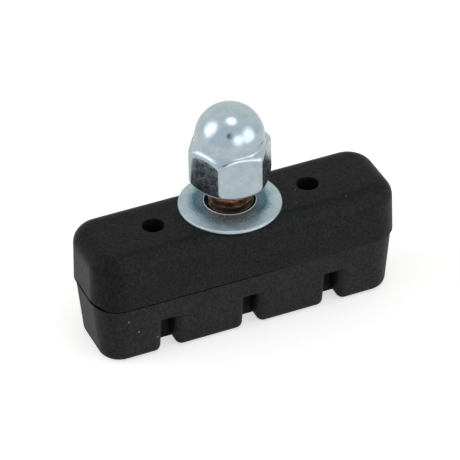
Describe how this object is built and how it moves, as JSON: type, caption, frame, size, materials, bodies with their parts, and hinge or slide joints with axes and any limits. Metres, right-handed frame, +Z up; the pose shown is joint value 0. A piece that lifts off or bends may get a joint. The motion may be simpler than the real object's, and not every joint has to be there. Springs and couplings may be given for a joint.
{
  "type": "bicycle rim brake pad",
  "caption": "Rubber rim brake block moulded round a threaded stud, with a notched friction face, and a flat washer and domed cap nut that clamp it to a brake arm.",
  "frame": {"origin": "middle of the friction face", "axes": "+Z up along the stud, away from the rim; X along the block; Y across it"},
  "size_m": [0.043, 0.0136, 0.0319],
  "materials": {
    "rubber": "matt, as moulded",
    "bare_steel": "bare",
    "copper_plate": "copper plated steel",
    "zinc_plate": "bright zinc plated steel"
  },
  "bodies": {
    "root": {"brake_block": "rubber", "insert_plate": "bare_steel", "stud": "copper_plate", "washer": "zinc_plate", "cap_nut": "zinc_plate"}
  },
  "joints": []
}
